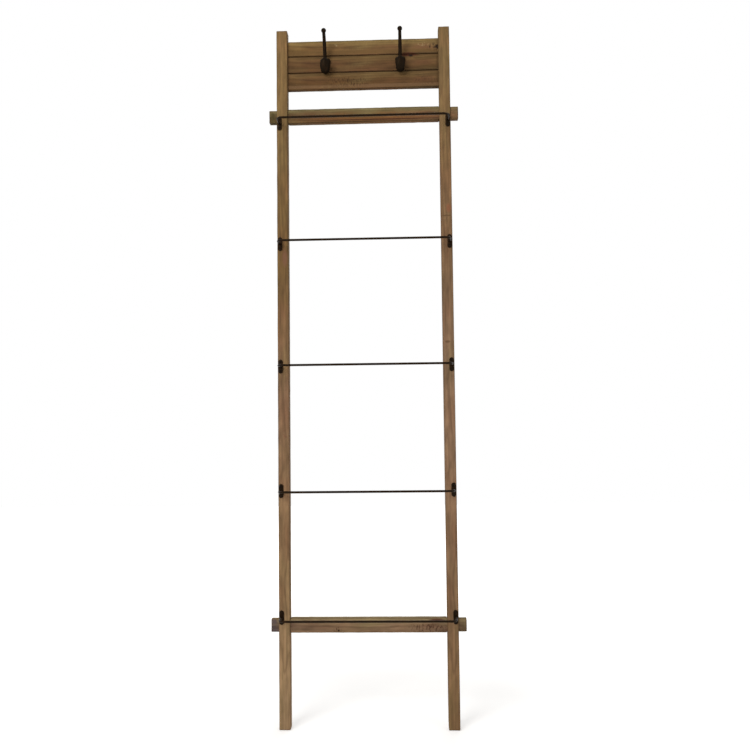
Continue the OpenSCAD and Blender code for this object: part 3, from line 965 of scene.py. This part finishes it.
class RACK_OT_towel_rails(bpy.types.Operator):
    """Model the five bent iron rails, each welded to its two tabs"""

    bl_idname = "rack.towel_rails"
    bl_label = "Towel rails"

    def execute(self, context):
        iron = context.scene.rack_iron
        # Hot-forged round bar: the waxed scale is near black, with a broken soft gloss
        finish = iron_finish(
            "forged_iron_waxed", iron.scale_black, grit=1.1 * MM, relief=0.12 * MM,
            rough=(0.3, 0.45), sheen=0.09,
        )
        for number in RAIL_NUMBERS:
            name = f"towel_rail_{number}"
            low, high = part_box(name)
            rail = self.bent_rod(name, low, high)
            wear(rail, 13 * MM, iron.hammer_depth)
            wear(rail, 45 * MM, iron.hammer_depth)
            for side in SIDES:
                self.add_tab(rail, side, low, high)
            smooth(rail, 35)
            finish_piece(rail, finish, name)
        return {"FINISHED"}

    def bent_rod(self, name, low, high):
        """Round rod drawn from the right tab forwards, round the bend, across and back."""
        iron = bpy.context.scene.rack_iron
        radius = iron.rod_diameter / 2
        bend = iron.bend_radius
        foot_x = high.x - iron.tab_width / 2
        foot_y = high.y - iron.tab_thickness / 2
        front = low.y + radius
        height = (low.z + high.z) / 2
        rod = begin(
            f"{name}_forged", bpy.ops.mesh.primitive_circle_add, vertices=20, radius=radius,
            fill_type="NGON", location=(foot_x, foot_y, height), rotation=FORWARDS,
        )
        arm = foot_y - front - bend
        straight = 2 * (foot_x - bend)
        with editing(rod):
            extrude((0, -arm, 0))
            self.spin(foot_x - bend, front + bend, height)
            extrude((-straight, 0, 0))
            self.spin(bend - foot_x, front + bend, height)
            extrude((0, arm, 0))
            bpy.ops.mesh.select_all(action="SELECT")
            bpy.ops.mesh.remove_doubles(threshold=0.001 * MM)
            face_outwards()
        for axis in (X, Y):
            divide(rod, axis, 5 * MM)
        return rod

    def spin(self, x, y, z):
        """Bends the rod on by a quarter turn about that middle."""
        bpy.ops.mesh.spin(steps=10, angle=math.pi / 2, center=(x, y, z), axis=(0, 0, 1))

    def add_tab(self, rail, side, low, high):
        """Oblong tab with the weld round the rod's foot, made one with the rod."""
        iron = bpy.context.scene.rack_iron
        centre = Vector((side * (high.x - iron.tab_width / 2), high.y, (low.z + high.z) / 2))
        tab = oblong("tab", centre, iron.tab_width, high.z - low.z, iron.tab_thickness)
        bead = begin(
            "weld", bpy.ops.mesh.primitive_torus_add, major_segments=28, minor_segments=10,
            major_radius=iron.rod_diameter / 2, minor_radius=iron.weld_width,
            location=centre - Y * iron.tab_thickness, rotation=FORWARDS,
        )
        wear(bead, 2.5 * MM, 0.7 * iron.weld_width)
        for part in (tab, bead):
            combine(rail, part, "UNION")


def swell(a, b, share):
    """Soft change from a to b while share goes from 0 to 1."""
    share = min(1, max(0, share))
    return a + (b - a) * share * share * (3 - 2 * share)


class RACK_OT_hooks(bpy.types.Operator):
    """Model one cast hook and hang a copy of it on each side of the header"""

    bl_idname = "rack.hooks"
    bl_label = "Hooks"

    def execute(self, context):
        cast = context.scene.rack_hooks
        # Sand-cast iron under black satin lacquer: soft edges, a faint grain, broad highlights
        finish = iron_finish(
            "cast_iron_lacquered", context.scene.rack_iron.casting_black, grit=1.3 * MM,
            relief=0.1 * MM, rough=(0.38, 0.52), sheen=0.06,
        )
        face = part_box("header_plank_middle")[0].y
        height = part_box("header_plank_top")[1].z - cast.centre_drop
        pattern = self.cast(Vector((0, face, height)))
        for side in SIDES:
            name = f"{SIDE_NAMES[side]}_hook"
            low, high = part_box(name)
            hook = copy_of(pattern)
            hook.name = hook.data.name = f"{name}_cast"
            hook.location.x = (low.x + high.x) / 2
            bpy.ops.object.transform_apply(location=True, rotation=True, scale=True)
            wear(hook, 6 * MM, cast.casting_grain)
            finish_piece(hook, finish, name)
        bpy.data.objects.remove(pattern)
        return {"FINISHED"}

    def cast(self, seat):
        """Plate, prong, ball and tongue run together in one skin with soft fillets."""
        sizes = bpy.context.scene.rack_hooks
        hook = self.plate(seat, sizes)
        for form in (self.prong, self.ball, self.tongue):
            combine(hook, form(seat, sizes), "UNION")
        modify(hook, "REMESH", mode="VOXEL", voxel_size=sizes.skin, use_smooth_shade=True)
        modify(hook, "SMOOTH", factor=0.5, iterations=7)
        return hook

    def plate(self, seat, sizes):
        """Back plate round its two screws and its foot."""
        rounds = [
            (side * sizes.screws_apart / 2 * X + sizes.screw_rise * Z, sizes.plate_lobe)
            for side in SIDES
        ]
        rounds.append((-sizes.plate_foot_drop * Z, sizes.plate_foot))
        plate = hull_of([
            begin(
                "hook_plate", bpy.ops.mesh.primitive_cylinder_add, vertices=48, radius=radius,
                depth=sizes.plate_thickness, rotation=FORWARDS,
                location=seat + middle - sizes.plate_thickness / 2 * Y,
            )
            for middle, radius in rounds
        ])
        ease_front(plate, seat.y - sizes.plate_thickness, sizes.plate_rim)
        return plate

    def ball(self, seat, sizes):
        """Ball that ends the prong."""
        return begin(
            "hook_ball", bpy.ops.mesh.primitive_uv_sphere_add, segments=32, ring_count=20,
            radius=sizes.ball / 2, location=seat - sizes.ball_reach * Y + sizes.ball_rise * Z,
        )

    def prong(self, seat, sizes):
        """Round horn that thins towards the ball."""
        reach, rise, start = sizes.ball_reach, sizes.ball_rise, sizes.prong_start
        curve = self.curve(seat, [
            (sizes.plate_thickness / 2, start), (0.42 * reach, start - 2 * MM),
            (0.26 * reach, 0.62 * rise), (reach, rise),
        ], count=15)
        waist = 0.4

        def section(t):
            """Half the width, half the thickness and the bow at share t of the curve."""
            across = swell(sizes.prong_root, sizes.prong_middle, t / waist)
            if t > waist:
                across = swell(sizes.prong_middle, sizes.prong_neck, (t - waist) / (1 - waist))
            return across / 2, across / 2, 0

        return self.sweep("hook_prong", curve, section)

    def tongue(self, seat, sizes):
        """Spoon-shaped lower hook, bowed across its width."""
        reach, dip = sizes.tongue_reach, sizes.tongue_dip
        curve = self.curve(seat, [
            (sizes.plate_thickness / 2, -1 * MM - sizes.plate_foot_drop), (0.64 * reach, -2 * dip),
            (1.06 * reach, -0.85 * dip), (reach, sizes.tongue_rise),
        ], count=18)
        root_end, lip_start = 0.12, 0.78

        def section(t):
            """Half the width, half the thickness and the bow at share t of the curve."""
            past = max(0, t - lip_start) / (1 - lip_start)
            opened = (t - root_end) / (lip_start - root_end)
            wide = swell(sizes.tongue_root, sizes.tongue_width, opened)
            wide *= math.sqrt(1 - 0.75 * past * past)
            thick = sizes.tongue_thickness * math.sqrt(1 - 0.9 * past ** 6)
            return wide / 2, thick / 2, swell(0, sizes.tongue_crown, t / lip_start)

        return self.sweep("hook_tongue", curve, section)

    def curve(self, seat, handles, count):
        """Points along a cubic from reach and rise of its ends and handles."""
        corners = [seat - Y * reach + Z * rise for reach, rise in handles]
        return interpolate_bezier(*corners, count)

    def sweep(self, name, points, section):
        """Ring after ring is drawn out along the points, turned and scaled to its section."""
        last = len(points) - 1
        runs = [points[min(k + 1, last)] - points[max(k - 1, 0)] for k in range(last + 1)]
        tilts = [math.atan2(run.z, -run.y) for run in runs]
        piece = begin(
            name, bpy.ops.mesh.primitive_circle_add, vertices=16, radius=1, fill_type="NGON",
            location=points[0], rotation=FORWARDS,
        )
        with editing(piece):
            bpy.ops.mesh.select_all(action="SELECT")
            before, lean, bow = (1, 1), 0, 0
            for k, point in enumerate(points):
                if k:
                    extrude(point - points[k - 1])
                half_wide, half_thick, crown = section(k / last)
                self.tip(-lean, point)
                self.bow_ring(piece, point, before[0], -bow)
                scale = (half_wide / before[0], 1, half_thick / before[1])
                bpy.ops.transform.resize(value=scale, center_override=point)
                self.bow_ring(piece, point, half_wide, crown)
                self.tip(tilts[k], point)
                before, lean, bow = (half_wide, half_thick), tilts[k], crown
            face_outwards()
        modify(piece, "SUBSURF", levels=1, render_levels=1)
        return piece

    def tip(self, angle, point):
        """Tips the ring about the X axis, upwards for a positive angle."""
        if angle:
            bpy.ops.transform.rotate(value=angle, orient_axis="X", center_override=point)

    def bow_ring(self, piece, point, half_wide, crown):
        """Draws the sides of the upright ring back, so that its middle stands forward."""
        if not crown:
            return
        mesh = bmesh.from_edit_mesh(piece.data)
        for vert in mesh.verts:
            if vert.select:
                vert.co.z += crown * ((vert.co.x - point.x) / half_wide) ** 2
        bmesh.update_edit_mesh(piece.data)


class RACK_OT_screws(bpy.types.Operator):
    """Model one domed screw with a cross recess and drive a copy into every hole"""

    bl_idname = "rack.screws"
    bl_label = "Screws"

    def execute(self, context):
        iron = context.scene.rack_iron
        # Steel screws in black oxide: darker and a little glossier than the iron round them
        finish = iron_finish(
            "black_oxide_steel", iron.screw_black, grit=0.9 * MM, relief=0.05 * MM,
            rough=(0.3, 0.42), sheen=0.1,
        )
        pattern = self.screw()
        groups = [f"towel_rail_{number}_screws" for number in RAIL_NUMBERS]
        groups += [f"{SIDE_NAMES[side]}_hook_screws" for side in SIDES]
        for index, group in enumerate(groups):
            low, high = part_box(group)
            inset = iron.head_diameter / 2
            heights = {low.z + inset, high.z - inset}
            if high.z - low.z < 2 * iron.head_diameter:
                heights = {(low.z + high.z) / 2}
            copies = []
            for x in (low.x + inset, high.x - inset):
                for z in sorted(heights):
                    # No two neighbours end up with their crosses at the same angle
                    turned = math.radians(37 * (index + 3 * len(copies)))
                    copies.append(self.drive(pattern, x, low.y, z, turned, high.y - low.y))
            piece = join(copies)
            piece.name = piece.data.name = f"{group}_black"
            finish_piece(piece, finish, group)
        bpy.data.objects.remove(pattern)
        return {"FINISHED"}

    def screw(self):
        """Screw with its head's crown at the origin, that points along +Y."""
        iron = bpy.context.scene.rack_iron
        radius, height = iron.head_diameter / 2, iron.head_height
        ball = (radius * radius + height * height) / (2 * height)
        head = begin(
            "screw", bpy.ops.mesh.primitive_uv_sphere_add, segments=32, ring_count=32,
            radius=ball, location=(0, ball, 0), rotation=FORWARDS,
        )
        with editing(head):
            cut_away((0, height, 0), (0, 1, 0))
        for angle in (0, math.pi / 2):
            combine(head, self.recess_arm(iron, angle), "DIFFERENCE")
        overlap, blunt = 0.2 * MM, 0.25
        start = height - overlap
        shank = begin(
            "shank", bpy.ops.mesh.primitive_cylinder_add, vertices=16,
            radius=iron.shank_diameter / 2, depth=STEM - start,
            location=(0, (STEM + start) / 2, 0), rotation=FORWARDS,
        )
        with editing(shank):
            choose(shank, "FACE", lambda face: face.normal.y > 0.9)
            extrude((0, iron.point_length, 0))
            bpy.ops.transform.resize(value=(blunt, 1, blunt), center_override=(0, 0, 0))
        combine(head, shank, "UNION")
        smooth(head, 35)
        return head

    def recess_arm(self, iron, angle):
        """Cutter for one arm of the cross, which narrows inwards."""
        corner = iron.recess_width / math.sqrt(2)
        deep = iron.recess_depth
        # A quarter as long again as the recess is deep, so that it starts before the crown
        arm = begin(
            "recess", bpy.ops.mesh.primitive_cone_add, vertices=4, radius1=0.2 * corner,
            radius2=1.2 * corner, depth=1.25 * deep, location=(0, 0.375 * deep, 0),
            rotation=FORWARDS,
        )
        slim = (1, 1, iron.recess_arm / iron.recess_width)
        with editing(arm):
            bpy.ops.mesh.select_all(action="SELECT")
            self.twist(math.pi / 4)
            bpy.ops.transform.resize(value=slim, center_override=(0, 0, 0))
            self.twist(angle)
        return arm

    def twist(self, angle):
        """Turns the selection about the screw's middle line."""
        bpy.ops.transform.rotate(value=angle, orient_axis="Y", center_override=(0, 0, 0))

    def drive(self, pattern, x, y, z, turned, length_over_all):
        """Copy of the screw at its place, as long as its hole allows."""
        copy = copy_of(pattern)
        stretch = length_over_all - STEM - bpy.context.scene.rack_iron.point_length
        with editing(copy):
            choose(copy, "VERT", lambda vert: vert.co.y > STEM / 2)
            bpy.ops.transform.translate(value=(0, stretch, 0))
        copy.rotation_euler.y = turned
        copy.location = (x, y, z)
        bpy.ops.object.transform_apply(location=True, rotation=True, scale=True)
        return copy


class RACK_OT_brads(bpy.types.Operator):
    """Finish the brads that hold the planks from behind"""

    bl_idname = "rack.brads"
    bl_label = "Brads"

    def execute(self, context):
        iron = context.scene.rack_iron
        # Wire brads, dulled in the oiled wood
        finish = iron_finish(
            "dulled_brad_steel", iron.screw_black, grit=0.8 * MM, relief=0.03 * MM,
            rough=(0.35, 0.5), sheen=0.3,
        )
        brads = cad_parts["plank_brads"]
        brads.data.materials.clear()
        brads.data.materials.append(finish)
        return {"FINISHED"}


# ---- Stage ---------------------------------------------------------------------------------

class RACK_OT_stage(bpy.types.Operator):
    """Set up the camera, the soft lights, the pale floor and the white surroundings"""

    bl_idname = "rack.stage"
    bl_label = "Stage"

    def execute(self, context):
        stage = context.scene.rack_stage
        self.camera(stage)
        for name in ("key", "fill", "back"):
            self.lamp(name, stage)
        self.floor()
        self.world(stage.ambient)
        context.scene.view_settings.view_transform = "Standard"
        return {"FINISHED"}

    def camera(self, stage):
        """Camera that stands at the eye and looks at the rack's front."""
        lens = bpy.data.cameras.new("camera")
        lens.lens = stage.lens
        lens.sensor_width = 36
        lens.clip_start = 0.05
        camera = bpy.data.objects.new("camera", lens)
        bpy.context.scene.collection.objects.link(camera)
        aim = Euler((math.pi / 2 + stage.pitch, 0, -stage.yaw)).to_matrix()
        aim = aim @ Matrix.Rotation(stage.roll, 3, "Z")
        camera.matrix_world = Matrix.Translation(stage.eye) @ aim.to_4x4()
        bpy.context.scene.camera = camera

    def lamp(self, name, stage):
        """Round soft lamp that points at the rack."""
        light = bpy.data.lights.new(name, "AREA")
        light.shape = "DISK"
        light.size = getattr(stage, f"{name}_size")
        light.energy = getattr(stage, f"{name}_power")
        lamp = bpy.data.objects.new(name, light)
        bpy.context.scene.collection.objects.link(lamp)
        lamp.location = getattr(stage, f"{name}_place")
        lamp.rotation_euler = (stage.aim - lamp.location).to_track_quat("-Z", "Y").to_euler()

    def floor(self):
        """Pale floor that is seen white further out, with the rack's shadow left near its feet."""
        floor = begin("floor", bpy.ops.mesh.primitive_plane_add, size=12)
        # Matt white paint
        material, tree, shader = begin_material("pale_floor_paint")
        place = add(tree, "ShaderNodeTexCoord").outputs["Object"]
        glow = spread(tree, distance(tree, place), 0.5, 2.0, 0.45, 1.0)
        fill(tree, shader, {
            "Base Color": linear("#EDEBE8"), "Roughness": 0.9, "Specular IOR Level": 0.1,
            "Emission Color": linear("#FFFFFF"),
            "Emission Strength": maths(tree, "MULTIPLY", self.seen_directly(tree), glow),
        })
        floor.data.materials.append(material)

    def seen_directly(self, tree):
        """1 for a camera, glossy or transmission ray."""
        path = add(tree, "ShaderNodeLightPath")
        rays = ("Is Camera Ray", "Is Glossy Ray", "Is Transmission Ray")
        seen = path.outputs[rays[0]]
        for ray in rays[1:]:
            seen = maths(tree, "MAXIMUM", seen, path.outputs[ray])
        return seen

    def world(self, ambient):
        """White surroundings that light the rack at the ambient strength."""
        world = bpy.data.worlds.new("white_studio")
        bpy.context.scene.world = world
        world.use_nodes = True
        tree = world.node_tree
        tree.nodes.clear()
        strength = spread(tree, self.seen_directly(tree), 0, 1, ambient, 1.0)
        back = add(tree, "ShaderNodeBackground", {"Color": linear("#FFFFFF"), "Strength": strength})
        add(tree, "ShaderNodeOutputWorld", {"Surface": back.outputs[0]})


# ---- Add-on --------------------------------------------------------------------------------

class RACK_PT_sidebar(bpy.types.Panel):
    """Sizes, colours and building steps of the towel rack"""

    bl_idname = "RACK_PT_sidebar"
    bl_label = "Ladder Towel Rack"
    bl_space_type = "VIEW_3D"
    bl_region_type = "UI"
    bl_category = "Towel Rack"

    def draw(self, context):
        """Lists every setting, and then the building steps."""
        layout = self.layout
        for name in SETTINGS:
            group = getattr(context.scene, name)
            box = layout.box()
            for setting in group.bl_rna.properties.keys():
                if setting not in ("rna_type", "name"):
                    box.prop(group, setting)
        for operator in OPERATORS:
            layout.operator(operator.bl_idname)


OPERATORS = (
    RACK_OT_stiles, RACK_OT_header, RACK_OT_crossbars, RACK_OT_towel_rails, RACK_OT_hooks,
    RACK_OT_screws, RACK_OT_brads, RACK_OT_stage,
)
SETTINGS = {
    "rack_timber": RackTimberSettings,
    "rack_iron": RackIronSettings,
    "rack_hooks": RackHookSettings,
    "rack_stage": RackStageSettings,
}
CLASSES = (*SETTINGS.values(), *OPERATORS, RACK_PT_sidebar)


def register():
    """Makes the settings, the operators and the sidebar known to Blender."""
    for cls in CLASSES:
        bpy.utils.register_class(cls)
    for name, settings in SETTINGS.items():
        setattr(bpy.types.Scene, name, PointerProperty(type=settings))


def unregister():
    """Takes away what register added."""
    for name in SETTINGS:
        delattr(bpy.types.Scene, name)
    for cls in reversed(CLASSES):
        bpy.utils.unregister_class(cls)


def main():
    """Builds the rack and its stage."""
    register()
    for operator in OPERATORS:
        group, name = operator.bl_idname.split(".")
        getattr(getattr(bpy.ops, group), name)()


if __name__ == "__main__":
    main()
